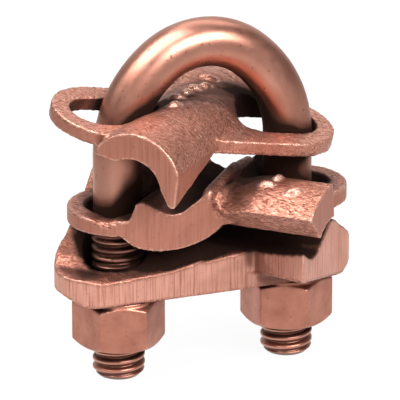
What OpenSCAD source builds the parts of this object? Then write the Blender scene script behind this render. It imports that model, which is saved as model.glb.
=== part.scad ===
/* [U-bolt] */
// Distance between the centre lines of the two legs
leg_spacing = 31.75; // [31:0.25:34]
// Diameter of the smooth rod
rod_d = 8.6; // [8:0.1:8.9]
// Diameter over the threads
thread_d = 9.2; // [9:0.1:9.5]
// Length of thread on each leg
thread_len = 28; // [24:0.5:30]
// Length of stud that stands out below each nut
stud_out = 6.1; // [5:0.1:8]
// Straight height of the legs above the seats of the nuts
leg_rise = 25.4; // [25:0.1:30]
// Height of the bend above the straight legs, to the centre line
bend_rise = 18.5; // [18:0.25:21]
// Radius of the top of the bend, to the centre line
crown_r = 13.3; // [12.8:0.1:14]
// Chamfer on the stud ends
stud_chamfer = 1; // [0.5:0.1:1.5]

/* [Nuts] */
// Width across the flats of each nut
nut_flats = 14.3; // [13.5:0.1:15]
// Height of each nut with its washer face
nut_h = 9; // [8:0.1:10]
// Thickness of the washer face
washer_face_t = 0.7; // [0.4:0.1:1]
// Clearance between the nut and the stud, on the radius
nut_play = 0.06; // [0.04:0.01:0.1]
// Turn of the left nut about its stud
left_nut_angle = 30.9; // [0:0.1:60]
// Turn of the right nut about its stud
right_nut_angle = 19.5; // [0:0.1:60]

/* [Base] */
// Half width of the base across the plane of the U-bolt
base_half_w = 7.2; // [7:0.1:8.5]
// How far each end of the base lies beyond its leg
base_end_out = 11.4; // [10.8:0.1:12]
// Half length of the lower trough
base_trough_half = 21; // [20:0.25:23]
// Height of the bottom of the lower trough
base_trough_z = 7.4; // [6.5:0.1:8]
// Half width of the lower trough between its crests
base_crest_y = 7.8; // [7:0.1:8.5]
// Slope of the lower trough's walls, in degrees
base_slope = 33; // [30:1:35]
// Radius at the bottom of the lower trough
base_trough_r = 5; // [4:0.25:6]
// Height of the ear beyond its leg
base_edge_z = 5.6; // [5:0.1:6]
// How far the wing's end stands in front of the trough's centre line
base_wing_y = 4.7; // [4:0.1:6]

/* [Saddle] */
// Half width of the saddle across the plane of the U-bolt
saddle_half_w = 9.5; // [9:0.1:10]
// How far each ear reaches beyond its leg
saddle_ear_out = 9.7; // [9.5:0.1:11]
// Thickness of the ears
saddle_ear_t = 2.9; // [2.5:0.1:3.5]
// Reach of the arch over the lower cable, toward the right
saddle_arch_right = 23.4; // [22:0.2:24]
// Reach of the arch toward the left
saddle_arch_left = 21; // [20:0.2:22]
// Height of the top of the arch above the underside of the ears
saddle_arch_z = 7.5; // [7:0.1:8]
// Half width of the arch at its widest
saddle_arch_y = 9.6; // [9:0.1:10]
// Height of the arch at its widest
saddle_wide_z = 3.9; // [3.6:0.1:4.4]
// Half width of the arch at its lower lip
saddle_lip_y = 5; // [4.5:0.1:5.5]
// Height of the bottom of the upper trough
saddle_trough_z = 3.2; // [3:0.1:3.6]
// Half width of the upper trough between its ridges
saddle_ridge_x = 4; // [3.8:0.1:4.4]
// Height of the ridges
saddle_ridge_z = 6.3; // [6:0.1:6.8]
// Depth of the rounded belly below the ears
saddle_belly = 3.5; // [3:0.1:3.6]
// Radius of the seat for the lower cable
lower_seat_r = 7.25; // [6.5:0.25:8]
// Height of the seat's top above the underside of the ears
lower_seat_z = 1.25; // [0.8:0.05:1.4]
// Shift of the saddle toward the right leg
saddle_shift = 0.9; // [0:0.1:1]
// Gap between the saddle's ears and the base's crests
saddle_gap = 1.9; // [1.8:0.1:2.4]

/* [Cap] */
// Half width of the cap across the plane of the U-bolt
cap_half_w = 9.7; // [9.2:0.1:10]
// How far each ear reaches beyond its leg
cap_ear_out = 10.3; // [10:0.1:11]
// Thickness of the ears
cap_ear_t = 2.5; // [2.2:0.1:3]
// Half length of the barrel
cap_barrel_half = 23.2; // [22:0.2:24]
// Outer radius of the barrel
cap_outer_r = 8.8; // [8.6:0.1:9.2]
// Height of the barrel's top above the underside of the ears
cap_top_z = 5.9; // [5.5:0.1:6.4]
// Radius of the seat for the upper cable
upper_seat_r = 5.4; // [5:0.1:5.6]
// Height of the seat's top above the underside of the ears
upper_seat_z = 1.2; // [0.8:0.1:1.6]
// Depth of the skirt below the ears
cap_skirt = 4.8; // [4.3:0.1:5.2]
// Roll of the cap about its barrel, left ear up
cap_roll = 13.8; // [10:0.2:14]
// Shift of the cap toward the left leg
cap_shift = 2.2; // [1.5:0.1:2.3]
// Height of the underside of the cap's ears above the seats of the nuts
cap_z = 28.4; // [27.5:0.1:28.8]

/* [Hidden] */
$fn = 72;

// The legs stand on the diagonal between the two cables.
diagonal = 45;

// Reach of a cut that goes right through, a small overshoot, and steps in a short arc of an outline.
cut_far = 60;
cut_over = 1;
arc_steps = 6;
leg_at = leg_spacing / 2;

// The origin is the middle of the lower cable, halfway between its trough and its seat.
base_tangent_y = base_trough_r * sin(base_slope);
base_tangent_z = base_trough_z + base_trough_r * (1 - cos(base_slope));
base_crest_z = base_tangent_z + (base_crest_y - base_tangent_y) * tan(base_slope);
saddle_rise = base_crest_z + saddle_gap;
seat_z = -(base_trough_z + saddle_rise + lower_seat_z) / 2;
stud_z = seat_z - nut_h - stud_out;
bend_z = seat_z + leg_rise;

// The bend is three arcs that run into each other: the crown and a flank on each side.
crown_drop = bend_rise - crown_r;
flank_r = (leg_at * leg_at + crown_drop * crown_drop - crown_r * crown_r)
    / (2 * (leg_at - crown_r));
flank_angle = atan2(crown_drop, flank_r - leg_at);

// Ring that closes a joint between two arcs.
ring_h = 0.6;
ring_over = 0.02;

// Corners of the nuts.
nut_face_in = 0.2;
nut_chamfer = 30;
nut_over = 0.1;

// Room that is left round a rod or stud in an ear, and the reach of each slot from its leg.
ear_play = 0.45;
slot_r = thread_d / 2 + ear_play;
base_hole_play = 0.5;
base_hole_r = thread_d / 2 + base_hole_play;
base_hole_out = 1.1;
saddle_slot_out = 6.5;
saddle_slot_in = 6.6;
cap_slot_out = 7.2;
cap_slot_in = 8.3;

// Shape of the base above its seats.
base_end_at = leg_at + base_end_out - base_half_w;
base_brow_out = 1.9;
base_brow_drop = 0.3;
base_brow_y = base_crest_y + base_brow_out;
base_brow_z = base_crest_z - base_brow_drop;
base_edge_y = 17.5;
base_far_y = 24;
base_far_drop = 1;
base_far_z = base_edge_z - base_far_drop;
base_wing_in = 1.4;
base_wing_out = 2.6;
base_wing_root = 6;
base_wing_x = base_half_w * sqrt(2) - base_wing_in;
base_wing_back = leg_at / sqrt(2) + base_wing_out;
base_under_y = 13;
base_under_tilt = 12.7;
base_seat_inset = 0.2;
base_fall_slope = 33;
// The top falls to the long faces in strips: start, height at the middle and rise along the legs.
base_strips = [
    [-cut_far, 5.6, 3.3],
    [-8.5, 6.94, 12.1],
    [-4.6, 7.36, 17],
    [-2.8, 6.3, 6.1]
];
base_strip_end = 6.5;
base_strip_over = 0.05;
base_toe_out = 8;
base_toe_at = leg_at + base_toe_out;
base_toe_slope = 27;

// Height of the saddle, whose ears lie over the base's crests.
saddle_z = seat_z + saddle_rise;
saddle_end_at = leg_at + saddle_ear_out - saddle_half_w;
arch_rise = saddle_arch_z - saddle_wide_z;
arch_r = (saddle_arch_y * saddle_arch_y + arch_rise * arch_rise) / (2 * arch_rise);
belly_at = -0.8;
belly_half = 6.8;
belly_r = (belly_half * belly_half + saddle_belly * saddle_belly) / (2 * saddle_belly);
ridge_top_w = 1;
ridge_foot_w = 2.4;
ridge_drop = 0.4;
ridge_over = 0.2;
ridge_hair = 0.01;
trough_slope = 40;
trough_r = 2.4;
valley_out = 1.4;
arch_from = 2;
arch_over = 1;
arch_fall_y = 0.3;
right_fall_w = 1;
left_fall_w = 6.5;
saddle_lip_drop = 0.7;
arch_bevel = (saddle_wide_z + saddle_lip_drop) / (saddle_arch_y - saddle_lip_y);
trough_at = -0.4;

// Height of the cap.
cap_base_z = seat_z + cap_z;
cap_end_at = leg_at + cap_ear_out - cap_half_w;
cap_wide_z = 1.4;
cap_wide_x = sqrt(cap_outer_r * cap_outer_r
    - (cap_outer_r - cap_top_z + cap_wide_z) * (cap_outer_r - cap_top_z + cap_wide_z));
skirt_splay = 0.8;
cap_tip_x = cap_wide_x + skirt_splay;
skirt_tip_w = 1.3;
seat_flare_angle = 25;
seat_flare_in = 0.05;
flare_x = upper_seat_r * cos(seat_flare_angle) - seat_flare_in;
flare_z = upper_seat_z - upper_seat_r + upper_seat_r * sin(seat_flare_angle) - seat_flare_in;
flare_slope = (cap_tip_x - skirt_tip_w - flare_x) / (flare_z + cap_skirt);
flare_end_z = -2 * cap_skirt;
flare_end_x = flare_x + flare_slope * (flare_z - flare_end_z);
cap_heel = 0.6;
cap_heel_len = 9;
cap_skirt_len = 16.5;
cap_skirt_end = cap_barrel_half - cap_skirt_len;
skirt_over = 1;
skirt_bite = 0.5;
skirt_top_z = cap_wide_z - skirt_bite;
skirt_fall = (cap_skirt + skirt_top_z) / (cap_barrel_half - cap_skirt_end);
fillet_r = 5;
fillet_bite = 0.08;
barrel_z = cap_top_z - cap_outer_r;
fillet_up = cap_ear_t + fillet_r - barrel_z;
fillet_x = sqrt((cap_outer_r + fillet_r) * (cap_outer_r + fillet_r) - fillet_up * fillet_up);
fillet_top_z = barrel_z + fillet_up * cap_outer_r / (cap_outer_r + fillet_r);

// A flat bar with round ends that lies along the legs' plane.
module ear_bar(end_at, half_w) {
    rotate(diagonal)
        union() {
            square([2 * end_at, 2 * half_w], center = true);
            for (side = [-1, 1])
                translate([side * end_at, 0]) circle(r = half_w);
        }
}

// One slot, with round ends, through an ear: it reaches out and in from the leg.
module leg_slot(r, out, inward) {
    union() {
        translate([out - r, 0, -cut_far / 2]) cylinder(r = r, h = cut_far);
        translate([r - inward, 0, -cut_far / 2]) cylinder(r = r, h = cut_far);
        translate([r - inward, -r, -cut_far / 2])
            cube([out + inward - 2 * r, 2 * r, cut_far]);
    }
}

// The slots for both legs.
module leg_slots(r, out, inward) {
    for (turn = [0, 180])
        rotate([0, 0, diagonal + turn])
            translate([leg_at, 0, 0])
                leg_slot(r, out, inward);
}

// Extrudes an outline that is drawn in (Y, Z) along X.
module along_x(from, to) {
    translate([from, 0, 0])
        rotate([90, 0, 90])
            linear_extrude(to - from)
                children();
}

// Extrudes an outline that is drawn in (X, Z) along Y, from -half to half.
module along_y(half) {
    translate([0, half, 0])
        rotate([90, 0, 0])
            linear_extrude(2 * half)
                children();
}

// Lays a casting on the legs: height, shift along the legs' plane and roll about the upper cable.
module on_legs(z, shift, roll) {
    translate([shift * cos(diagonal), shift * sin(diagonal), z])
        rotate([0, roll, 0])
            children();
}

// One leg, with its threaded stud.
module leg() {
    union() {
        cylinder(d1 = thread_d - 2 * stud_chamfer, d2 = thread_d, h = stud_chamfer);
        translate([0, 0, stud_chamfer])
            cylinder(d = thread_d, h = thread_len - stud_chamfer);
        translate([0, 0, thread_len])
            cylinder(d1 = thread_d, d2 = rod_d, h = (thread_d - rod_d) / 2);
        translate([0, 0, thread_len])
            cylinder(d = rod_d, h = bend_z - stud_z - thread_len);
    }
}

// One arc of round rod in the XZ plane.
module rod_arc(r, from, sweep) {
    rotate([90, 0, 0])
        rotate([0, 0, from])
            rotate_extrude(angle = sweep)
                translate([r, 0])
                    circle(d = rod_d);
}

// Smooth rod bent to a U, with a thread on each end.
module u_bolt() {
    color("#c99a86")
        rotate([0, 0, diagonal])
            union() {
                for (side = [-1, 1])
                    translate([side * leg_at, 0, stud_z]) leg();
                for (flip = [0, 1])
                    mirror([flip, 0, 0])
                        translate([leg_at - flank_r, 0, bend_z])
                            rod_arc(flank_r, 0, flank_angle);
                translate([0, 0, bend_z + crown_drop])
                    rod_arc(crown_r, flank_angle, 180 - 2 * flank_angle);
                // A short ring closes each joint between two arcs.
                for (flip = [0, 1])
                    mirror([flip, 0, 0])
                        translate([0, 0, bend_z + crown_drop])
                            rotate([0, -flank_angle, 0])
                                translate([crown_r, 0, -ring_h / 2])
                                    cylinder(d = rod_d + ring_over, h = ring_h);
            }
}

// Hex nut with chamfered corners and a washer face on top.
module nut() {
    hex_r = nut_flats / sqrt(3);
    hex_h = nut_h - washer_face_t;
    face_r = nut_flats / 2 - nut_face_in;
    far_r = hex_r + nut_over;
    fall = (far_r - face_r) * tan(nut_chamfer);
    difference() {
        union() {
            intersection() {
                cylinder(r = hex_r, h = hex_h, $fn = 6);
                rotate_extrude()
                    polygon([
                        [0, 0],
                        [face_r, 0],
                        [far_r, fall],
                        [far_r, hex_h - fall],
                        [face_r, hex_h],
                        [0, hex_h]
                    ]);
            }
            translate([0, 0, hex_h]) cylinder(r = face_r, h = washer_face_t);
        }
        translate([0, 0, -cut_over])
            cylinder(d = thread_d + 2 * nut_play, h = nut_h + 2 * cut_over);
    }
}

module left_nut() {
    color("#c07f68")
        rotate([0, 0, diagonal])
            translate([-leg_at, 0, seat_z - nut_h])
                rotate([0, 0, left_nut_angle - diagonal])
                    nut();
}

module right_nut() {
    color("#c07f68")
        rotate([0, 0, diagonal])
            translate([leg_at, 0, seat_z - nut_h])
                rotate([0, 0, right_nut_angle - diagonal])
                    nut();
}

// Outline of the base from above: a bar along the legs with a wing at each end of the trough.
module base_plan() {
    union() {
        ear_bar(base_end_at, base_half_w);
        for (turn = [0, 180])
            rotate(turn)
                polygon([
                    [0, 0],
                    [base_wing_x, 0],
                    [base_trough_half, -base_wing_y],
                    [base_trough_half, base_wing_back],
                    [0, base_wing_back - base_wing_root]
                ]);
    }
}

// Half of the base's top, from the trough's middle to the far edge of an ear.
function base_top(side) = [
    for (step = [0 : arc_steps])
        let (a = base_slope * step / arc_steps)
        [side * base_trough_r * sin(a), base_trough_z + base_trough_r * (1 - cos(a))],
    [side * base_crest_y, base_crest_z],
    [side * base_brow_y, base_brow_z],
    [side * base_edge_y, base_edge_z],
    [side * base_far_y, base_far_z]
];

module base_section() {
    left = base_top(-1);
    polygon(concat(
        [[base_far_y, 0], [-base_far_y, 0]],
        [for (i = [len(left) - 1 : -1 : 1]) left[i]],
        base_top(1)
    ));
}

// Takes off what stands above one strip of the slope that rises from a long face.
module fall_cut(strip, to) {
    from = strip[0] - base_strip_over;
    intersection() {
        translate([from, -cut_far / 2, 0])
            cube([to - from, cut_far, cut_far]);
        translate([0, -base_half_w, strip[1]])
            rotate([0, -strip[2], 0])
                rotate([base_fall_slope, 0, 0])
                    translate([-2 * cut_far, -cut_far, 0])
                        cube([3 * cut_far, 2 * cut_far, cut_far]);
    }
}

module base() {
    color("#b9826d")
        translate([0, 0, seat_z])
            difference() {
                intersection() {
                    linear_extrude(base_crest_z + cut_over) base_plan();
                    along_x(-cut_far / 2, cut_far / 2) base_section();
                }
                leg_slots(base_hole_r, base_hole_r + base_hole_out, base_hole_r);
                for (turn = [0, 180])
                    rotate([0, 0, turn]) {
                        // The wings' undersides rise toward their front edges, clear of the nuts.
                        difference() {
                            translate([base_wing_x, base_under_y, 0])
                                rotate([-base_under_tilt, 0, 0])
                                    translate([0, -cut_far, -cut_far])
                                        cube([cut_far, cut_far, cut_far]);
                            translate([0, 0, -cut_far])
                                linear_extrude(2 * cut_far)
                                    ear_bar(base_end_at, base_half_w - base_seat_inset);
                        }
                        rotate([0, 0, diagonal]) {
                            // The crests and the ears fall away toward the long faces.
                            for (i = [0 : len(base_strips) - 1])
                                fall_cut(base_strips[i], i + 1 < len(base_strips)
                                    ? base_strips[i + 1][0] + base_strip_over : base_strip_end);
                            // The undersides rise beyond the nuts.
                            translate([base_toe_at, -cut_far / 2, 0])
                                rotate([0, -base_toe_slope, 0])
                                    translate([0, 0, -cut_far])
                                        cube([cut_far, cut_far, cut_far]);
                        }
                    }
            }
}

// Section of the bar under the upper cable, across that cable.
module trough_section() {
    polygon([
        [-saddle_ridge_x - ridge_foot_w, saddle_ear_t / 3],
        [saddle_ridge_x + ridge_foot_w, saddle_ear_t / 3],
        [saddle_ridge_x + ridge_foot_w, saddle_ear_t / 2],
        [saddle_ridge_x + ridge_top_w, saddle_ridge_z - ridge_drop],
        [saddle_ridge_x, saddle_ridge_z],
        [-saddle_ridge_x, saddle_ridge_z],
        [-saddle_ridge_x - ridge_top_w, saddle_ridge_z - ridge_drop],
        [-saddle_ridge_x - ridge_foot_w, saddle_ear_t / 2]
    ]);
}

// Section of the V of the upper trough, with a round bottom, open at the top.
module trough_cut() {
    rise = saddle_ridge_z - saddle_trough_z;
    polygon(concat(
        [for (step = [-arc_steps : arc_steps])
            let (a = trough_slope * step / arc_steps)
            [trough_r * sin(a), saddle_trough_z + trough_r * (1 - cos(a))]],
        [
            [saddle_ridge_x + ridge_over, saddle_ridge_z + ridge_hair],
            [saddle_ridge_x + ridge_over, saddle_ridge_z + rise * 2],
            [-saddle_ridge_x - ridge_over, saddle_ridge_z + rise * 2],
            [-saddle_ridge_x - ridge_over, saddle_ridge_z + ridge_hair]
        ]
    ));
}

// Section of the arch over the lower cable, across that cable: it falls to the ear on one side.
module arch_section(fall_w) {
    intersection() {
        translate([0, saddle_arch_z - arch_r]) circle(r = arch_r);
        polygon([
            [-saddle_lip_y, -saddle_lip_drop],
            [arch_fall_y + fall_w, -saddle_lip_drop],
            [arch_fall_y + fall_w, saddle_ear_t / 2],
            [arch_fall_y, saddle_arch_z + cut_over],
            [-saddle_arch_y - arch_over, saddle_arch_z + cut_over],
            [-saddle_arch_y - arch_over, saddle_wide_z + arch_over * arch_bevel]
        ]);
    }
}

module middle_saddle() {
    valley = saddle_ridge_x + ridge_top_w;
    color("#b9826d")
        on_legs(saddle_z, saddle_shift, 0)
            difference() {
                union() {
                    linear_extrude(saddle_ear_t) ear_bar(saddle_end_at, saddle_half_w);
                    difference() {
                        union() {
                            along_x(arch_from, saddle_arch_right) arch_section(right_fall_w);
                            rotate([0, 0, 180])
                                along_x(arch_from, saddle_arch_left) arch_section(left_fall_w);
                        }
                        along_y(cut_far / 2)
                            polygon([
                                [trough_at - valley, saddle_ear_t / 2],
                                [trough_at + valley, saddle_ear_t / 2],
                                [trough_at + valley + valley_out, saddle_arch_z + cut_over],
                                [trough_at - valley - valley_out, saddle_arch_z + cut_over]
                            ]);
                    }
                    intersection() {
                        translate([0, 0, -2 * saddle_belly])
                            linear_extrude(2 * saddle_ridge_z + 2 * saddle_belly)
                                ear_bar(saddle_end_at, saddle_half_w);
                        union() {
                            translate([trough_at, 0, 0])
                                along_y(cut_far / 2) trough_section();
                            intersection() {
                                translate([belly_at, cut_far / 2, belly_r - saddle_belly])
                                    rotate([90, 0, 0])
                                        cylinder(r = belly_r, h = cut_far);
                                translate([belly_at - 2 * belly_r, -cut_far / 2, -2 * saddle_belly])
                                    cube([4 * belly_r, cut_far, 2 * saddle_belly + saddle_ear_t / 2]);
                            }
                        }
                    }
                }
                translate([trough_at, 0, 0])
                    along_y(cut_far / 2) trough_cut();
                translate([-cut_far / 2, 0, lower_seat_z - lower_seat_r])
                    rotate([0, 90, 0])
                        cylinder(r = lower_seat_r, h = cut_far);
                leg_slots(slot_r, saddle_slot_out, saddle_slot_in);
            }
}

// Section of the barrel over the upper cable, with both skirts.
module barrel_section() {
    union() {
        intersection() {
            translate([0, cap_top_z - cap_outer_r]) circle(r = cap_outer_r);
            translate([-cap_outer_r, cap_wide_z])
                square([2 * cap_outer_r, cap_top_z - cap_wide_z + cut_over]);
        }
        polygon([
            [-cap_wide_x, cap_wide_z],
            [-cap_tip_x, -cap_skirt - skirt_over],
            [cap_tip_x, -cap_skirt - skirt_over],
            [cap_wide_x, cap_wide_z]
        ]);
    }
}

// Section of the hollow fillets between the barrel and the ears.
module barrel_fillets() {
    for (flip = [0, 1])
        mirror([flip, 0])
            difference() {
                polygon([
                    [0, 0],
                    [fillet_x, 0],
                    [fillet_x, cap_ear_t],
                    [fillet_x * cap_outer_r / (cap_outer_r + fillet_r), fillet_top_z],
                    [0, fillet_top_z]
                ]);
                translate([fillet_x - fillet_bite, cap_ear_t + fillet_r - fillet_bite])
                    circle(r = fillet_r);
            }
}

// What is kept of the barrel on one side: a skirt that runs up to the ear.
module skirt_keep() {
    along_x(-skirt_over, cap_outer_r + skirt_over)
        polygon([
            [-cap_barrel_half - skirt_over, -cap_skirt - skirt_over * skirt_fall],
            [-cap_skirt_end, skirt_top_z],
            [cap_barrel_half - cap_heel_len, skirt_top_z],
            [cap_barrel_half + skirt_over, -cap_heel],
            [cap_barrel_half + skirt_over, cap_top_z + skirt_over],
            [-cap_barrel_half - skirt_over, cap_top_z + skirt_over]
        ]);
}

module top_cap() {
    color("#b9826d")
        on_legs(cap_base_z, -cap_shift, cap_roll)
            difference() {
                union() {
                    linear_extrude(cap_ear_t) ear_bar(cap_end_at, cap_half_w);
                    intersection() {
                        along_y(cap_barrel_half) barrel_section();
                        union() {
                            skirt_keep();
                            rotate([0, 0, 180]) skirt_keep();
                        }
                    }
                    // Hollow fillets run from the barrel to the ears.
                    intersection() {
                        linear_extrude(cap_top_z) ear_bar(cap_end_at, cap_half_w);
                        along_y(cap_barrel_half) barrel_fillets();
                    }
                }
                translate([0, cut_far / 2, upper_seat_z - upper_seat_r])
                    rotate([90, 0, 0])
                        cylinder(r = upper_seat_r, h = cut_far);
                along_y(cut_far / 2)
                    polygon([
                        [-flare_x, flare_z],
                        [flare_x, flare_z],
                        [flare_end_x, flare_end_z],
                        [-flare_end_x, flare_end_z]
                    ]);
                leg_slots(slot_r, cap_slot_out, cap_slot_in);
            }
}

u_bolt();
top_cap();
middle_saddle();
base();
left_nut();
right_nut();
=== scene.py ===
"""A cross cable connector of copper alloy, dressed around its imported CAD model."""

import math

import bmesh
import bpy
import numpy as np
from mathutils import Matrix, Vector, noise
from mathutils.bvhtree import BVHTree


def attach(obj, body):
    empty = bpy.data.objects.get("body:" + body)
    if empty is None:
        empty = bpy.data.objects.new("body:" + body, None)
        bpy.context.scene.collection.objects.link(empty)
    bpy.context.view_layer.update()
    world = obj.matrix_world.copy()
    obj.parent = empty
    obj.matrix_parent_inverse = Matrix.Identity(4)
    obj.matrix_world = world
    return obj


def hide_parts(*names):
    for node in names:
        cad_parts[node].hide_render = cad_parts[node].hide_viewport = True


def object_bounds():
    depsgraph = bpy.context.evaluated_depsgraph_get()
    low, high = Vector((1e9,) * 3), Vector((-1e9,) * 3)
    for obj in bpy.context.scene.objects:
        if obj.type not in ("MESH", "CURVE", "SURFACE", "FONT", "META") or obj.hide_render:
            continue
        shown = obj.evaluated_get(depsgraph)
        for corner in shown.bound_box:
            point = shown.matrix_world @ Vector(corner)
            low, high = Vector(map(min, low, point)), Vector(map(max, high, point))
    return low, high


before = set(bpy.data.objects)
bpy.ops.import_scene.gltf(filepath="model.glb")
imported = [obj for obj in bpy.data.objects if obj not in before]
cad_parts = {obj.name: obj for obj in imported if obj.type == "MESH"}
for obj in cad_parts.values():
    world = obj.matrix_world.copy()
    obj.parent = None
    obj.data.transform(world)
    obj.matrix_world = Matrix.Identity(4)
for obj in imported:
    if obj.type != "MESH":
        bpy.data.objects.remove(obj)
CAD_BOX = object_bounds()

MM = 0.001
FLOOR_Z = CAD_BOX[0][2]

# The U-bolt's sizes in millimetres, as the CAD model has them.
LEG_AT = 31.75 / 2
ROD_R = 8.6 / 2
CREST_R = 9.2 / 2
THREAD_LEN = 28.0
END_CHAMFER = 1.0
BEND_RISE = 18.5
CROWN_R = 13.3

# The turns of the thread, which the CAD model leaves out, in millimetres.
THREAD_PITCH = 25.4 / 16
THREAD_DEPTH = 0.72
RUN_OUT = 2.4
# The shares of the pitch that the roots and the flanks take; the crests have the rest.
ROOT_SHARE = 0.14
FLANK_SHARE = 0.66

# How finely the U-bolt is swept.
BOLT_SEGMENTS = 72
RINGS_PER_TURN = 12
SHANK_STEP = 0.8
FLANK_STEPS = 12
CROWN_STEPS = 24
DIAGONAL = math.sqrt(0.5)

# Noise on the castings: sizes in millimetres, where there are three along X, Y and Z.
SWIRL_SEED = 7
SWIRL_SIZE = 3.4
SWIRL_PUSH = 1.2
FIBRE_SIZES = (1.7, 0.48, 0.55)
CREASE_SIZES = (1.9, 0.8, 0.9)
CREASE_WIDTH = 0.3
CREASE_LEVEL = 0.7
FINE_STRIA = (0.5, 0.5, 9)
COARSE_STRIA = (1.7, 1.7, 14)
COARSE_SHIFT = (7, 0, 0)
SWELL_SIZE = 3.4
PIT_SIZE = 0.9
PIT_SHIFT = Vector((3, 5, 8))
PIT_LEVEL = 0.35

# Edges and walls of the castings, and the beads and marks on them, where the painted shade is
# lifted and the marks get a painted glint.
EDGE_ROUNDS = 3
EDGE_HEIGHT = 0.16
WALL_FROM = 0.72
WALL_FADE = 0.2
BEAD_REACH = 1.5
BEAD_FADE = 0.4
MARK_GLINT = 0.9
SHADE_LIFT = 0.55
ABOVE_ALL = 100

# The middle line of a raised mark: half length and radius as shares of its size, and rise.
MARK_HALF = 0.3
MARK_RADIUS = 0.45
MARK_RISE = 0.3

# Rays that find how sheltered a surface is: their reach and their start above it in
# millimetres, the least cosine to its normal, and how much less the farthest metal counts.
SHELTER_REACH = 22.0
RAY_LIFT = 0.35
GRAZING = 0.1
FAR_LOSS = 0.6

# Where poured metal fills a hollow, and how the arch beside it sags, in millimetres.
FLOW_FADE = 0.8
SAG_START = 1.0
SAG_END = 7.0
SAG_FADE = 4.5
SAG_RISE = 4
SAG_DEPTH = 0.9

# The camera stands at the photograph's view.
VIEW_AZIMUTH = 23.5
VIEW_ELEVATION = 19.5
VIEW_DISTANCE = 786 * MM
VIEW_ASIDE = -0.52 * MM
VIEW_HEIGHT = 30.0 * MM
SENSOR = 36.0
LENS = 405.0

# The white floor: half its width in metres, its paint, and the share of it that glows.
FLOOR_REACH = 3.0
FLOOR_PAINT = (0.9, 0.9, 0.9, 1)
FLOOR_GLOW = 0.93
# Where the floor and the surroundings start and end to dim to the sides, and what is left.
FLOOR_FADE = (0.045, 0.12, 0.5)
WORLD_FADE = (0.4, 0.85, 0.28)
# The grey of the surroundings by height, from the horizon to overhead.
WORLD_GREYS = ((0.0, 0.7), (0.3, 0.8), (0.55, 0.6), (0.75, 0.25), (1.0, 0.25))
# Azimuth and elevation in degrees, distance, width and height in metres, power in watts.
SOFTBOXES = {
    "key": (60, 38, 0.6, 0.46, 0.3, 4.6),
    "top": (-40, 65, 0.7, 0.6, 0.6, 7.2),
    "back": (189, 56, 0.8, 0.7, 0.35, 1.4),
    "left": (-60, 38, 0.8, 0.5, 0.5, 0.5),
}

# Blender seeds the swirls by the clock, so a seed is set for the same skin on each run.
noise.seed_set(SWIRL_SEED)


def linear(red, green, blue):
    """A colour given in sRGB bytes, as the shader's linear values."""

    def one(value):
        value /= 255
        return value / 12.92 if value <= 0.04045 else ((value + 0.055) / 1.055) ** 2.4

    return (one(red), one(green), one(blue), 1.0)


def new_object(name, mesh):
    obj = bpy.data.objects.new(name, mesh)
    bpy.context.scene.collection.objects.link(obj)
    return obj


def coordinates(mesh):
    flat = np.empty(len(mesh.vertices) * 3)
    mesh.vertices.foreach_get("co", flat)
    return flat.reshape(-1, 3)


def vertex_normals(mesh):
    flat = np.empty(len(mesh.vertices) * 3)
    mesh.vertex_normals.foreach_get("vector", flat)
    return flat.reshape(-1, 3)


def set_coordinates(mesh, points):
    mesh.vertices.foreach_set("co", points.ravel())
    mesh.update()


def edge_pairs(mesh):
    flat = np.empty(len(mesh.edges) * 2, dtype=np.int64)
    mesh.edges.foreach_get("vertices", flat)
    return flat.reshape(-1, 2)


def shade_smooth(mesh):
    mesh.polygons.foreach_set("use_smooth", np.ones(len(mesh.polygons), dtype=bool))


def neighbour_mean(pairs, values):
    """The mean of each vertex's neighbours, for one value or several per vertex."""
    total = np.zeros_like(values)
    count = np.zeros(len(values))
    for here, there in ((0, 1), (1, 0)):
        np.add.at(total, pairs[:, here], values[pairs[:, there]])
        np.add.at(count, pairs[:, here], 1)
    if values.ndim > 1:
        count = count[:, None]
    return total / np.maximum(count, 1)


def relax(pairs, values, rounds, share=0.5):
    """Values drawn towards their neighbours' mean; a share may differ from vertex to vertex."""
    for _ in range(rounds):
        values = values + share * (neighbour_mean(pairs, values) - values)
    return values


def store(mesh, name, values):
    """Keep one value from 0 to 1 per vertex, for the materials to read."""
    layer = mesh.attributes.new(name, "FLOAT", "POINT")
    layer.data.foreach_set("value", np.clip(values, 0, 1).astype(np.float32))


def mark_shape(into, place, along, up, length, width, height):
    """A small rounded bar that stands out of a casting, added to a bmesh."""
    across = up.cross(along).normalized()
    turn = Matrix((along, across, up)).transposed().to_4x4()
    size = Matrix.Diagonal((length / 2, width / 2, height, 1))
    bmesh.ops.create_uvsphere(
        into,
        u_segments=20,
        v_segments=12,
        radius=1,
        matrix=Matrix.Translation(place) @ turn @ size,
    )


def bead_shape(into, start, end, radius):
    """A round bead between two places, added to a bmesh."""
    along = end - start
    turn = along.to_track_quat("Z", "Y").to_matrix().to_4x4()
    middle = Matrix.Translation((start + end) / 2)
    bmesh.ops.create_cone(
        into,
        cap_ends=True,
        segments=24,
        radius1=radius,
        radius2=radius,
        depth=along.length,
        matrix=middle @ turn,
    )
    for place in (start, end):
        bmesh.ops.create_uvsphere(
            into,
            u_segments=24,
            v_segments=12,
            radius=radius,
            matrix=Matrix.Translation(place) @ turn,
        )


def spread(count):
    """Directions spread evenly over a sphere."""
    turn = math.pi * (3 - math.sqrt(5))
    out = []
    for i in range(count):
        z = 1 - 2 * (i + 0.5) / count
        r = math.sqrt(1 - z * z)
        out.append(Vector((r * math.cos(turn * i), r * math.sin(turn * i), z)))
    return out


RAYS = spread(count=26)


def surroundings(without, own=None):
    """All CAD solids at rest but one, and its new mesh if given, as a tree in millimetres."""
    points, faces = [], []
    meshes = [(obj.data, MM) for name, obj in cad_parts.items() if name != without]
    if own:
        meshes.append((own, 1))
    for mesh, unit in meshes:
        start = len(points)
        points += [v.co / unit for v in mesh.vertices]
        faces += [[start + k for k in face.vertices] for face in mesh.polygons]
    return BVHTree.FromPolygons(points, faces)


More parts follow.
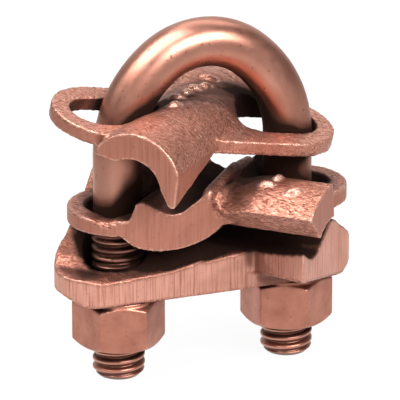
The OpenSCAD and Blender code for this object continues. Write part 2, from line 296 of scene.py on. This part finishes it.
def sheltered(points, normals, around):
    """How much of what a surface faces is metal, from 0 in the open to 1."""
    shares = np.zeros(len(points))
    for k, (point, normal) in enumerate(zip(points, normals)):
        out = Vector(normal)
        start = Vector(point) + out * RAY_LIFT
        total = blocked = 0.0
        for ray in RAYS:
            facing = ray.dot(out)
            if facing > GRAZING:
                total += facing
                _, _, _, far = around.ray_cast(start, ray, SHELTER_REACH)
                if far is not None:
                    blocked += facing * (1 - FAR_LOSS * far / SHELTER_REACH)
        shares[k] = blocked / total
    return shares


def bead_share(points, beads):
    """How much each point lies on one of these beads, from 0 away from them to 1 on them."""
    share = np.zeros(len(points))
    for start, end, radius in beads:
        start, along = np.array(start), np.array(end) - np.array(start)
        at = np.clip((points - start) @ along / (along @ along), 0, 1)
        off = np.linalg.norm(points - start - at[:, None] * along, axis=1)
        share = np.maximum(share, np.clip((radius * BEAD_REACH - off) / (radius * BEAD_FADE), 0, 1))
    return share


def steps(point, sizes, shift=(0, 0, 0)):
    """A place measured in steps of these sizes, moved by a shift."""
    return Vector([at / size + by for at, size, by in zip(point, sizes, shift)])


def wrinkle(point):
    """Fine swirling wrinkles and creases of a cast skin."""
    bent = point + SWIRL_PUSH * noise.noise_vector(point / SWIRL_SIZE)
    fibre = noise.noise(steps(bent, FIBRE_SIZES))
    near, _ = noise.voronoi(steps(bent, CREASE_SIZES))
    crease = min((near[1] - near[0]) / CREASE_WIDTH, 1) - CREASE_LEVEL
    return 0.9 * fibre + 0.2 * crease


def striation(point):
    """Upright lines of a sheared wall, fine ones and coarse ones."""
    fine = noise.noise(steps(point, FINE_STRIA))
    return fine + 0.7 * noise.noise(steps(point, COARSE_STRIA, COARSE_SHIFT))


def skin_lift(points, wall, skin, striae, pits):
    """How far the texture lifts each point, by the heights of its three kinds."""
    spots = [Vector(p) for p in points]
    lift = wall * striae * np.array([striation(p) for p in spots])
    if skin:
        fine = np.array([wrinkle(p) for p in spots])
        swell = np.array([noise.noise(p / SWELL_SIZE) for p in spots])
        lift += (1 - wall) * skin * (fine + 0.8 * swell)
    if pits:
        holes = np.array([noise.noise(p / PIT_SIZE + PIT_SHIFT) for p in spots])
        lift -= pits * np.clip(holes - PIT_LEVEL, 0, 1)
    return lift


def flowing(points, pairs, bands, low, rounds):
    """Points with the hollows in these bands of X run full, as poured metal fills them."""
    share = np.zeros(len(points))
    for start, end in bands:
        inside = np.minimum(points[:, 0] - start, end - points[:, 0]) / FLOW_FADE
        share = np.maximum(share, np.clip(inside, 0, 1))
    share *= np.clip((points[:, 2] - low) / FLOW_FADE, 0, 1)
    points = relax(pairs, points, rounds, 0.5 * share[:, None])
    # The arches sag a little towards the ridges.
    sag = np.zeros(len(points))
    (right_from, _), (_, left_from) = bands
    for off in (points[:, 0] - right_from, left_from - points[:, 0]):
        begun = np.clip((off - SAG_START) / FLOW_FADE, 0, 1)
        sag = np.maximum(sag, begun * np.clip((SAG_END - off) / SAG_FADE, 0, 1))
    points[:, 2] -= SAG_DEPTH * sag * np.clip((points[:, 2] - low) / SAG_RISE, 0, 1)
    return points


def fuller(points, normals, middle, spread_by, way, height):
    """Points pushed out one way round a place, as a shoulder that is cast fuller there."""
    off = (points - np.array(middle)) / np.array(spread_by)
    share = np.exp(-np.einsum("ij,ij->i", off, off)) * np.clip(normals @ np.array(way), 0, 1)
    return points + height * share[:, None] * np.array(way)


def raised(node, marks, beads):
    """A CAD node's mesh in millimetres with marks and beads, and the marks' middle lines."""
    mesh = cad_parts[node].data.copy()
    mesh.transform(Matrix.Scale(1 / MM, 4))
    shape = bmesh.new()
    shape.from_mesh(mesh)
    bmesh.ops.remove_doubles(shape, verts=shape.verts, dist=1e-4)
    ground = BVHTree.FromBMesh(shape)
    bars = []
    for x, y, turn, length, width, height in marks:
        place, up, _, _ = ground.ray_cast(Vector((x, y, ABOVE_ALL)), Vector((0, 0, -1)))
        aim = Vector((math.cos(math.radians(turn)), math.sin(math.radians(turn)), 0))
        along = (aim - up * aim.dot(up)).normalized()
        mark_shape(shape, place, along, up, length, width, height)
        half = MARK_HALF * length * along
        lift = up * MARK_RISE
        bars.append((place - half + lift, place + half + lift, MARK_RADIUS * width))
    for start, end, radius in beads:
        bead_shape(shape, Vector(start), Vector(end), radius)
    shape.to_mesh(mesh)
    shape.free()
    return mesh, bars


def voxelled(name, mesh, voxel):
    """An object with a mesh rebuilt from even voxels, so that its forms run together."""
    obj = new_object(name, mesh)
    remesh = obj.modifiers.new("voxels", "REMESH")
    remesh.mode = "VOXEL"
    remesh.voxel_size = voxel
    graph = bpy.context.evaluated_depsgraph_get()
    mesh = bpy.data.meshes.new_from_object(obj.evaluated_get(graph))
    obj.modifiers.clear()
    obj.data = mesh
    return obj


def recast(
    node,
    body,
    voxel,
    marks=(),
    beads=(),
    skin=0.075,
    striae=0.006,
    pits=0.0,
    flow=None,
    full=None,
):
    """A copy of a CAD node with worn, rounded edges and a cast or sheared skin, in its place, with
    measures for painted highlight and shade.
    """
    mesh, bars = raised(node, marks, beads)
    obj = voxelled(node + "_cast", mesh, voxel)
    mesh = obj.data
    pairs = edge_pairs(mesh)
    points = relax(pairs, coordinates(mesh), EDGE_ROUNDS)
    if flow:
        points = flowing(points, pairs, **flow)
    set_coordinates(mesh, points)
    if full:
        points = fuller(points, vertex_normals(mesh), **full)
        set_coordinates(mesh, points)
    normals = vertex_normals(mesh)
    # Convex edges stand proud of their neighbours' mean, and hollows lie below it.
    soft = relax(pairs, points, rounds=10)
    proud = np.einsum("ij,ij->i", points - soft, normals)
    upright = relax(pairs, 1 - np.abs(normals[:, 2]), rounds=4)
    wall = np.clip((upright - WALL_FROM) / WALL_FADE, 0, 1)
    lift = skin_lift(points, wall, skin, striae, pits)
    set_coordinates(mesh, points + normals * lift[:, None])

    # Proud edges turn pale, partly as wear and partly as painted highlight; the marks' middle
    # lines get a painted glint.
    wear_and_glint = np.maximum(np.clip(proud / EDGE_HEIGHT, 0, 1), MARK_GLINT * bead_share(points, bars))
    store(mesh, "wear_and_glint", relax(pairs, wear_and_glint, rounds=2))
    # Hollows get painted shade.
    store(mesh, "hollow", relax(pairs, np.clip(-proud / EDGE_HEIGHT, 0, 1), rounds=3))
    store(mesh, "wall", wall)
    # How sheltered each place is sets its painted shade.
    hidden = sheltered(points, normals, surroundings(node, mesh))
    # On the beads and the marks' middle lines, the painted shade is partly lifted.
    hidden *= 1 - SHADE_LIFT * bead_share(points, [*beads, *bars])
    store(mesh, "shelter", relax(pairs, hidden, rounds=8))
    mesh.transform(Matrix.Scale(MM, 4))
    shade_smooth(mesh)
    mesh.update()
    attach(obj, body)
    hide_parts(node)
    return obj


def bolt_path(bottom):
    """Points along the U-bolt's middle, from the left stud's end to the right one's."""
    bend = CAD_BOX[1][2] / MM - ROD_R - BEND_RISE
    drop = BEND_RISE - CROWN_R
    flank_r = (LEG_AT**2 + drop**2 - CROWN_R**2) / (2 * (LEG_AT - CROWN_R))
    flank = math.atan2(drop, flank_r - LEG_AT)
    step = THREAD_PITCH / RINGS_PER_TURN
    count = int(math.ceil((THREAD_LEN + 1) / step))
    side = [(LEG_AT, bottom + i * step) for i in range(count)]
    z = bottom + count * step
    while z < bend - SHANK_STEP / 2:
        side.append((LEG_AT, z))
        z += SHANK_STEP
    for i in range(FLANK_STEPS + 1):
        angle = flank * i / FLANK_STEPS
        aside = LEG_AT - flank_r + flank_r * math.cos(angle)
        side.append((aside, bend + flank_r * math.sin(angle)))
    half = math.pi / 2 - flank
    for i in range(1, CROWN_STEPS + 1):
        angle = flank + half * i / CROWN_STEPS
        side.append((CROWN_R * math.cos(angle), bend + drop + CROWN_R * math.sin(angle)))
    left = [(-aside, z) for aside, z in side]
    return left + side[-2::-1]


def thread_radius(height, phase):
    """The rod's radius at a height above the stud's end: thread, run-out and shank."""
    saw = abs(2 * (phase - math.floor(phase)) - 1)
    tooth = min(max((saw - ROOT_SHARE) / FLANK_SHARE, 0), 1)
    tooth = tooth * tooth * (3 - 2 * tooth)
    thread = CREST_R - THREAD_DEPTH * (1 - tooth)
    share = min(max((THREAD_LEN - height) / RUN_OUT, 0), 1)
    radius = ROD_R + (thread - ROD_R) * share
    return min(radius, CREST_R - END_CHAMFER + height)


def on_diagonal(spot):
    """A place in the U-bolt's own plane, turned to the diagonal its legs stand on, in metres."""
    x = DIAGONAL * (spot.x - spot.y) * MM
    y = DIAGONAL * (spot.x + spot.y) * MM
    return x, y, spot.z * MM


def bolt_ring(into, aside, z, along, bottom):
    """A ring of vertices round one point of the U-bolt's path."""
    plane_normal = Vector((0, 1, 0))
    across = plane_normal.cross(along)
    ring = []
    for k in range(BOLT_SEGMENTS):
        angle = math.tau * k / BOLT_SEGMENTS
        out = across * math.cos(angle) + plane_normal * math.sin(angle)
        turn = math.atan2(out.y, out.x) / math.tau
        radius = thread_radius(z - bottom, z / THREAD_PITCH - turn)
        spot = Vector((aside, 0, z)) + out * radius
        ring.append(into.verts.new(on_diagonal(spot)))
    return ring


def threaded_bolt(body):
    """The U-bolt as one swept rod with right-hand threads on both legs."""
    bottom = FLOOR_Z / MM
    path = bolt_path(bottom)
    shape = bmesh.new()
    rings = []
    last = len(path) - 1
    for i, (aside, z) in enumerate(path):
        before, after = path[max(i - 1, 0)], path[min(i + 1, last)]
        along = Vector((after[0] - before[0], 0, after[1] - before[1])).normalized()
        rings.append(bolt_ring(shape, aside, z, along, bottom))
    for low, high in zip(rings, rings[1:]):
        for k in range(BOLT_SEGMENTS):
            beside = (k + 1) % BOLT_SEGMENTS
            shape.faces.new((low[k], low[beside], high[beside], high[k]))
    shape.faces.new(list(reversed(rings[0])))
    shape.faces.new(rings[-1])
    bmesh.ops.recalc_face_normals(shape, faces=shape.faces)
    mesh = bpy.data.meshes.new("threaded_bolt")
    shape.to_mesh(mesh)
    shape.free()
    points = coordinates(mesh) / MM
    height = points[:, 2] - bottom
    reach = np.hypot(
        np.abs(points[:, 0] + points[:, 1]) * DIAGONAL - LEG_AT,
        (points[:, 1] - points[:, 0]) * DIAGONAL,
    )
    threaded = np.clip((THREAD_LEN - height) / RUN_OUT, 0, 1)
    # Thread roots get painted shade by their depth, and sheltered places by how sheltered they
    # are.
    store(mesh, "hollow", threaded * (CREST_R - reach) / THREAD_DEPTH)
    hidden = sheltered(points, vertex_normals(mesh), surroundings("u_bolt"))
    store(mesh, "shelter", relax(edge_pairs(mesh), hidden, rounds=6))
    shade_smooth(mesh)
    obj = new_object("threaded_bolt", mesh)
    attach(obj, body)
    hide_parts("u_bolt")
    return obj


def mapped(tree, value, low, high, out_low, out_high):
    """A node that carries a value from one range into another."""
    node = tree.nodes.new("ShaderNodeMapRange")
    limits = {"From Min": low, "From Max": high, "To Min": out_low, "To Max": out_high}
    for name, number in limits.items():
        node.inputs[name].default_value = number
    tree.links.new(value, node.inputs["Value"])
    return node


def ramped(tree, value, stops):
    """The colour that a value has on a ramp with these stops."""
    node = tree.nodes.new("ShaderNodeValToRGB")
    band = node.color_ramp
    while len(band.elements) < len(stops):
        band.elements.new(0.5)
    for element, (at, colour) in zip(band.elements, stops):
        element.position = at
        element.color = colour
    tree.links.new(value, node.inputs["Fac"])
    return node.outputs["Color"]


class Nodes:
    """Short calls for building one material's node tree."""

    def __init__(self, name):
        self.material = bpy.data.materials.new(name)
        self.material.use_nodes = True
        self.tree = self.material.node_tree
        self.shader = self.tree.nodes["Principled BSDF"]
        self.where = self.tree.nodes.new("ShaderNodeTexCoord").outputs["Object"]

    def link(self, source, target):
        self.tree.links.new(source, target)

    def stretch(self, sizes):
        """The place on the surface, measured in steps of these sizes in millimetres."""
        node = self.tree.nodes.new("ShaderNodeMapping")
        node.inputs["Scale"].default_value = [1 / (s * MM) for s in sizes]
        self.link(self.where, node.inputs["Vector"])
        return node.outputs["Vector"]

    def noise_at(self, where, detail, rough):
        node = self.tree.nodes.new("ShaderNodeTexNoise")
        settings = {"Scale": 1.0, "Detail": detail, "Roughness": rough}
        for name, number in settings.items():
            node.inputs[name].default_value = number
        self.link(where, node.inputs["Vector"])
        return node.outputs

    def noise(self, sizes, detail, rough=0.55):
        return self.noise_at(self.stretch(sizes), detail, rough)["Fac"]

    def warp(self, sizes, amount, swirl):
        """The stretched place, pushed about by a coarser noise."""
        coarse = self.noise_at(self.stretch((swirl, swirl, swirl)), detail=1.0, rough=0.5)
        push = self.tree.nodes.new("ShaderNodeVectorMath")
        push.operation = "MULTIPLY_ADD"
        push.inputs[1].default_value = [amount / s for s in sizes]
        self.link(coarse["Color"], push.inputs[0])
        self.link(self.stretch(sizes), push.inputs[2])
        return push.outputs["Vector"]

    def fibres(self, sizes, amount, swirl):
        """Noise drawn out along one axis and swirled."""
        return self.noise_at(self.warp(sizes, amount, swirl), detail=3.0, rough=0.6)["Fac"]

    def cells(self, sizes, amount, swirl):
        """Distance from the borders of irregular cells."""
        node = self.tree.nodes.new("ShaderNodeTexVoronoi")
        node.feature = "DISTANCE_TO_EDGE"
        node.inputs["Scale"].default_value = 1.0
        self.link(self.warp(sizes, amount, swirl), node.inputs["Vector"])
        return node.outputs["Distance"]

    def attribute(self, name):
        node = self.tree.nodes.new("ShaderNodeAttribute")
        node.attribute_name = name
        return node.outputs["Fac"]

    def ramp(self, value, places, tones):
        return ramped(self.tree, value, tuple(zip(places, tones)))

    def scale(self, value, low, high, out_low, out_high):
        return mapped(self.tree, value, low, high, out_low, out_high).outputs["Result"]

    def math(self, how, first, second):
        node = self.tree.nodes.new("ShaderNodeMath")
        node.operation = how
        for socket, value in zip(node.inputs, (first, second)):
            if isinstance(value, (int, float)):
                socket.default_value = value
            else:
                self.link(value, socket)
        return node.outputs["Value"]

    def mix(self, share, first, second):
        node = self.tree.nodes.new("ShaderNodeMix")
        node.data_type = "RGBA"
        # A mix node's sockets for colours come after those for numbers and vectors.
        for socket, value in ((node.inputs[6], first), (node.inputs[7], second)):
            if isinstance(value, tuple):
                socket.default_value = value
            else:
                self.link(value, socket)
        self.link(share, node.inputs[0])
        return node.outputs[2]

    def tint(self, colour, tone, value, low, high, most):
        """A colour that turns to a tone, by a share of at most this, as a value rises."""
        return self.mix(self.scale(value, low, high, 0.0, most), colour, tone)

    def bump(self, height, strength, depth):
        node = self.tree.nodes.new("ShaderNodeBump")
        node.inputs["Strength"].default_value = strength
        node.inputs["Distance"].default_value = depth * MM
        self.link(height, node.inputs["Height"])
        return node.outputs["Normal"]

    def finish(self, colour, roughness, normal, metallic):
        self.link(colour, self.shader.inputs["Base Color"])
        self.link(roughness, self.shader.inputs["Roughness"])
        self.link(normal, self.shader.inputs["Normal"])
        if isinstance(metallic, float):
            self.shader.inputs["Metallic"].default_value = metallic
        else:
            self.link(metallic, self.shader.inputs["Metallic"])
        return self.material


COPPER_DARK = linear(92, 52, 39)
COPPER_BROWN = linear(150, 92, 73)
# Pale copper for edges and corners, partly wear and partly painted highlight, and for the painted
# glint on raised marks.
WORN_AND_GLINT = linear(232, 184, 166)
# Warm brown painted shade, where a place is partly sheltered.
WARM_PAINTED_SHADE = linear(108, 60, 46)
# Near-black painted shade, for hollows, thread roots and sheltered places.
PAINTED_SHADE = linear(42, 25, 19)

# Three tones each, from dark to pale.
WALLS = (linear(152, 98, 81), linear(168, 110, 92), linear(178, 120, 102))
# The base's walls are paler than the others.
PALE_WALLS = (linear(164, 107, 89), linear(204, 146, 127), linear(220, 166, 148))
CAP_TONES = (linear(114, 68, 53), linear(180, 120, 100), linear(224, 168, 148))
SADDLE_TONES = (COPPER_DARK, linear(168, 110, 91), linear(212, 155, 135))
BASE_TONES = (linear(126, 77, 61), linear(168, 110, 91), linear(212, 155, 135))
ROD_TONES = (linear(178, 121, 102), linear(192, 135, 116), linear(204, 149, 130))
NUT_TONES = (linear(160, 103, 85), linear(178, 118, 99), linear(190, 130, 111))

# Where those tones lie on the range of the noise that picks them.
SKIN_STOPS = (0.46, 0.64, 0.88)
WALL_STOPS = (0.3, 0.48, 0.75)
CLOUD_STOPS = (0.3, 0.55, 0.8)

WALL_ROUGH = 0.46
WALL_METAL = 0.75


def cast_copper(name, walls, skin_tones, top_metal, top_rough, shade):
    """Wrinkled cast skin on top, sheared walls in three tones, bright broken edges that are partly
    wear and partly painted highlight, and painted shade in hollows and sheltered places.
    """
    nodes = Nodes(name)
    wall = nodes.attribute("wall")
    top = nodes.math("SUBTRACT", 1.0, wall)
    fibre = nodes.fibres((1.2, 0.28, 0.34), 3.4, 3.6)
    cell = nodes.scale(nodes.cells((1.5, 0.6, 0.7), 1.4, 2.0), 0.0, 0.2, 0.0, 1.0)
    skin_height = nodes.math(
        "ADD",
        nodes.math("MULTIPLY", fibre, 1.2),
        nodes.math("MULTIPLY", cell, 0.1),
    )
    skin = nodes.ramp(skin_height, SKIN_STOPS, skin_tones)
    sheared = nodes.ramp(nodes.noise((0.3, 0.3, 9), 3), WALL_STOPS, walls)
    colour = nodes.mix(wall, skin, sheared)
    patches = nodes.noise((6, 6, 6), 3)
    colour = nodes.tint(colour, COPPER_BROWN, patches, 0.45, 0.7, 0.25)
    specks = nodes.noise((0.55, 0.55, 0.55), 2)
    colour = nodes.tint(colour, COPPER_DARK, specks, 0.66, 0.74, 0.5)
    # Proud edges and the marks turn pale: partly wear, partly painted highlight and glint.
    worn_and_glint = nodes.math(
        "MULTIPLY",
        nodes.scale(nodes.attribute("wear_and_glint"), 0.25, 0.85, 0.0, 0.7),
        nodes.scale(nodes.noise((1.1, 1.1, 1.1), 3), 0.38, 0.58, 0.0, 1.0),
    )
    colour = nodes.mix(worn_and_glint, colour, WORN_AND_GLINT)
    # Hollows and sheltered places get painted shade: warm brown where partly sheltered, near-black
    # where more.
    colour = nodes.tint(colour, PAINTED_SHADE, nodes.attribute("hollow"), 0.2, 0.9, 0.6)
    shelter = nodes.attribute("shelter")
    colour = nodes.tint(colour, WARM_PAINTED_SHADE, shelter, shade - 0.15, shade + 0.08, 0.65)
    hidden = nodes.scale(shelter, shade, shade + 0.25, 0.0, 0.95)
    colour = nodes.mix(hidden, colour, PAINTED_SHADE)
    skin_rough = nodes.scale(fibre, 0.35, 0.65, top_rough + 0.12, top_rough - 0.12)
    rough = nodes.math(
        "ADD",
        nodes.math("MULTIPLY", skin_rough, top),
        nodes.math("MULTIPLY", wall, WALL_ROUGH),
    )
    rough = nodes.math("SUBTRACT", rough, nodes.math("MULTIPLY", worn_and_glint, 0.3))
    rough = nodes.math("MAXIMUM", rough, hidden)
    lines = nodes.noise((0.2, 0.2, 5), 3, 0.6)
    height = nodes.math(
        "ADD",
        nodes.math("MULTIPLY", lines, nodes.math("MULTIPLY", wall, 0.3)),
        nodes.math("MULTIPLY", skin_height, top),
    )
    metal = nodes.scale(wall, 0.0, 1.0, top_metal, WALL_METAL)
    return nodes.finish(colour, rough, nodes.bump(height, 0.8, 0.14), metal)


def drawn_copper():
    """Satin rod, slightly clouded, with small specks, and painted shade in the thread roots and
    sheltered places.
    """
    nodes = Nodes("drawn_copper")
    colour = nodes.ramp(nodes.noise((9, 9, 9), 3), CLOUD_STOPS, ROD_TONES)
    specks = nodes.noise((0.7, 0.7, 0.7), 1)
    colour = nodes.tint(colour, COPPER_DARK, specks, 0.7, 0.77, 0.7)
    # Painted shade in the thread roots and where the rod is sheltered.
    colour = nodes.tint(colour, PAINTED_SHADE, nodes.attribute("hollow"), 0.25, 1.0, 0.75)
    shelter = nodes.attribute("shelter")
    colour = nodes.tint(colour, WARM_PAINTED_SHADE, shelter, 0.08, 0.3, 0.35)
    hidden = nodes.scale(shelter, 0.24, 0.47, 0.0, 0.93)
    colour = nodes.mix(hidden, colour, PAINTED_SHADE)
    rough = nodes.scale(nodes.noise((1.2, 1.2, 1.2), 3), 0.3, 0.7, 0.27, 0.37)
    rough = nodes.math("MAXIMUM", rough, hidden)
    normal = nodes.bump(nodes.noise((0.45, 0.45, 0.45), 3), 0.25, 0.04)
    return nodes.finish(colour, rough, normal, 0.95)


def turned_copper():
    """Nut metal: smooth, slightly clouded, with scattered pits, bright corners that are partly
    wear and partly painted highlight, and painted shade where sheltered.
    """
    nodes = Nodes("turned_copper")
    cloud = nodes.noise((3.5, 3.5, 3.5), 4)
    colour = nodes.ramp(cloud, CLOUD_STOPS, NUT_TONES)
    pits = nodes.noise((0.6, 0.6, 0.6), 2)
    colour = nodes.tint(colour, COPPER_DARK, pits, 0.66, 0.74, 0.6)
    colour = nodes.tint(colour, WORN_AND_GLINT, nodes.attribute("wear_and_glint"), 0.25, 1.0, 0.5)
    colour = nodes.tint(colour, PAINTED_SHADE, nodes.attribute("shelter"), 0.5, 0.9, 0.85)
    rough = nodes.scale(cloud, 0.3, 0.7, 0.42, 0.34)
    normal = nodes.bump(nodes.noise((0.5, 0.5, 0.5), 3), 0.3, 0.05)
    return nodes.finish(colour, rough, normal, 0.92)


def dress(obj, material):
    obj.data.materials.clear()
    obj.data.materials.append(material)


# Raised marks: place in X and Y, turn in degrees, then length, width and height.
CAP_MARKS = (
    (-2.0, -7.6, 70, 2.8, 1.8, 0.8),
    (-3.4, -3.8, 25, 2.8, 1.7, 0.8),
    (-2.9, -0.8, 80, 2.6, 1.6, 0.8),
    (-2.5, 2.0, 15, 2.8, 1.7, 0.8),
    (-1.2, 3.9, 70, 2.6, 1.5, 0.8),
    (-1.8, 7.6, 20, 2.6, 1.5, 0.7),
)
SADDLE_MARKS = (
    (13.2, -2.8, 15, 3.0, 1.6, 0.8),
    (14.2, 0.0, 75, 2.4, 1.5, 0.75),
    (18.7, -3.8, 30, 3.2, 2.0, 0.85),
)
# The cap's far left shoulder reaches up to the crown.
CAP_SHOULDER = {
    "middle": (-6.8, 9.5, 21.5),
    "spread_by": (5.0, 5.5, 5.0),
    "way": (-0.664, 0.0, 0.747),
    "height": 2.6,
}
# The hollows beside the saddle's right and left ridge, and the height they start at.
SADDLE_FLOW = {"bands": ((5.3, 10.0), (-12.0, -7.3)), "low": 3.6, "rounds": 60}
# The saddle's ridges are round along their tops: start, end and radius of each stretch.
SADDLE_BEADS = (
    ((4.7, -8.2, 8.2), (4.1, 4.6, 8.9), 1.15),
    ((4.1, 4.6, 8.9), (3.9, 11.0, 8.2), 0.9),
    ((-3.9, 9.4, 8.2), (-3.3, -3.4, 8.7), 1.15),
    ((-3.3, -3.4, 8.7), (-3.2, -8.0, 8.0), 0.9),
)

cap = recast("top_cap", "cap", 0.22, CAP_MARKS, full=CAP_SHOULDER)
saddle = recast("middle_saddle", "saddle", 0.24, SADDLE_MARKS, SADDLE_BEADS, flow=SADDLE_FLOW)
base = recast("base", "base", 0.25, skin=0.045, striae=0.02)
nuts = (
    recast("left_nut", "left_nut", 0.2, skin=0.0, striae=0.004, pits=0.08),
    recast("right_nut", "right_nut", 0.2, skin=0.0, striae=0.004, pits=0.05),
)
bolt = threaded_bolt("u_bolt")

cap_skin = cast_copper("cap_casting", WALLS, CAP_TONES, top_metal=0.78, top_rough=0.38, shade=0.29)
saddle_skin = cast_copper(
    "saddle_casting", WALLS, SADDLE_TONES, top_metal=0.72, top_rough=0.42, shade=0.22
)
base_skin = cast_copper(
    "base_casting", PALE_WALLS, BASE_TONES, top_metal=0.82, top_rough=0.4, shade=0.13
)
for casting, material in ((cap, cap_skin), (saddle, saddle_skin), (base, base_skin)):
    dress(casting, material)
nut_metal = turned_copper()
for nut in nuts:
    dress(nut, nut_metal)
dress(bolt, drawn_copper())


def view_side():
    """The direction to the right in the photograph's view."""
    turn = math.radians(VIEW_AZIMUTH)
    return Vector((math.cos(turn), math.sin(turn), 0))


def sideways(tree, where):
    """How far to either side of the photograph's view a place or direction lies."""
    side = tree.nodes.new("ShaderNodeVectorMath")
    side.operation = "DOT_PRODUCT"
    side.inputs[1].default_value = view_side()
    tree.links.new(where, side.inputs[0])
    both = tree.nodes.new("ShaderNodeMath")
    both.operation = "ABSOLUTE"
    tree.links.new(side.outputs["Value"], both.inputs[0])
    return both.outputs["Value"]


def fading(tree, value, start, end, least):
    """From 1 at the start down to the least value at the end."""
    node = mapped(tree, value, start, end, 1.0, least)
    node.interpolation_type = "SMOOTHSTEP"
    return node.outputs["Result"]


def larger(tree, first, second):
    node = tree.nodes.new("ShaderNodeMath")
    node.operation = "MAXIMUM"
    tree.links.new(first, node.inputs[0])
    tree.links.new(second, node.inputs[1])
    return node.outputs["Value"]


def studio_floor():
    """A white floor with a faint shadow, mirrored dimmer to both sides of the view."""
    mesh = bpy.data.meshes.new("floor")
    far = FLOOR_REACH
    corners = [(-far, -far), (far, -far), (far, far), (-far, far)]
    mesh.from_pydata([(x, y, FLOOR_Z) for x, y in corners], [], [(0, 1, 2, 3)])
    floor = new_object("floor", mesh)
    material = bpy.data.materials.new("white_floor")
    material.use_nodes = True
    tree = material.node_tree
    tree.nodes.clear()
    paint = tree.nodes.new("ShaderNodeBsdfDiffuse")
    paint.inputs["Color"].default_value = FLOOR_PAINT
    glow = tree.nodes.new("ShaderNodeEmission")
    path = tree.nodes.new("ShaderNodeLightPath")
    seen = path.outputs["Is Camera Ray"]
    place = tree.nodes.new("ShaderNodeNewGeometry").outputs["Position"]
    level = larger(tree, fading(tree, sideways(tree, place), *FLOOR_FADE), seen)
    tree.links.new(level, glow.inputs["Strength"])
    # Only rays from the camera and from mirrors see the glow; the rest see the paint.
    for other in ("Is Glossy Ray", "Is Transmission Ray"):
        seen = larger(tree, seen, path.outputs[other])
    share = tree.nodes.new("ShaderNodeMath")
    share.operation = "MULTIPLY"
    share.inputs[1].default_value = FLOOR_GLOW
    tree.links.new(seen, share.inputs[0])
    blend = tree.nodes.new("ShaderNodeMixShader")
    tree.links.new(share.outputs["Value"], blend.inputs["Fac"])
    tree.links.new(paint.outputs["BSDF"], blend.inputs[1])
    tree.links.new(glow.outputs["Emission"], blend.inputs[2])
    out = tree.nodes.new("ShaderNodeOutputMaterial")
    tree.links.new(blend.outputs["Shader"], out.inputs["Surface"])
    mesh.materials.append(material)


def studio_world():
    """A pale wall in front and behind, dimmer to both sides and overhead."""
    world = bpy.data.worlds.new("studio")
    world.use_nodes = True
    tree = world.node_tree
    where = tree.nodes.new("ShaderNodeTexCoord").outputs["Generated"]
    split = tree.nodes.new("ShaderNodeSeparateXYZ")
    tree.links.new(where, split.inputs["Vector"])
    stops = [(at, (grey, grey, grey, 1)) for at, grey in WORLD_GREYS]
    wall = tree.nodes["Background"]
    tree.links.new(ramped(tree, split.outputs["Z"], stops), wall.inputs["Color"])
    level = fading(tree, sideways(tree, where), *WORLD_FADE)
    tree.links.new(level, wall.inputs["Strength"])
    bpy.context.scene.world = world


def direction(azimuth, elevation):
    """From the object outwards; azimuth 0 is towards -Y and turns towards +X."""
    a, e = math.radians(azimuth), math.radians(elevation)
    return Vector((math.sin(a) * math.cos(e), -math.cos(a) * math.cos(e), math.sin(e)))


def softbox(name, azimuth, elevation, distance, width, height, power):
    """A rectangular light that looks at the origin."""
    lamp = bpy.data.lights.new(name, "AREA")
    lamp.shape = "RECTANGLE"
    lamp.size = width
    lamp.size_y = height
    lamp.energy = power
    obj = new_object(name, lamp)
    away = direction(azimuth, elevation)
    obj.location = away * distance
    obj.rotation_euler = away.to_track_quat("Z", "Y").to_euler()


def camera():
    lens = bpy.data.cameras.new("camera")
    lens.sensor_fit = "HORIZONTAL"
    lens.sensor_width = SENSOR
    lens.lens = LENS
    lens.clip_start = 0.01
    obj = new_object("camera", lens)
    target = view_side() * VIEW_ASIDE + Vector((0, 0, FLOOR_Z + VIEW_HEIGHT))
    away = direction(VIEW_AZIMUTH, VIEW_ELEVATION)
    obj.location = target + away * VIEW_DISTANCE
    obj.rotation_euler = away.to_track_quat("Z", "Y").to_euler()
    bpy.context.scene.camera = obj


studio_floor()
studio_world()
for light, setting in SOFTBOXES.items():
    softbox(light, *setting)
camera()

bpy.context.scene.view_settings.view_transform = "Standard"
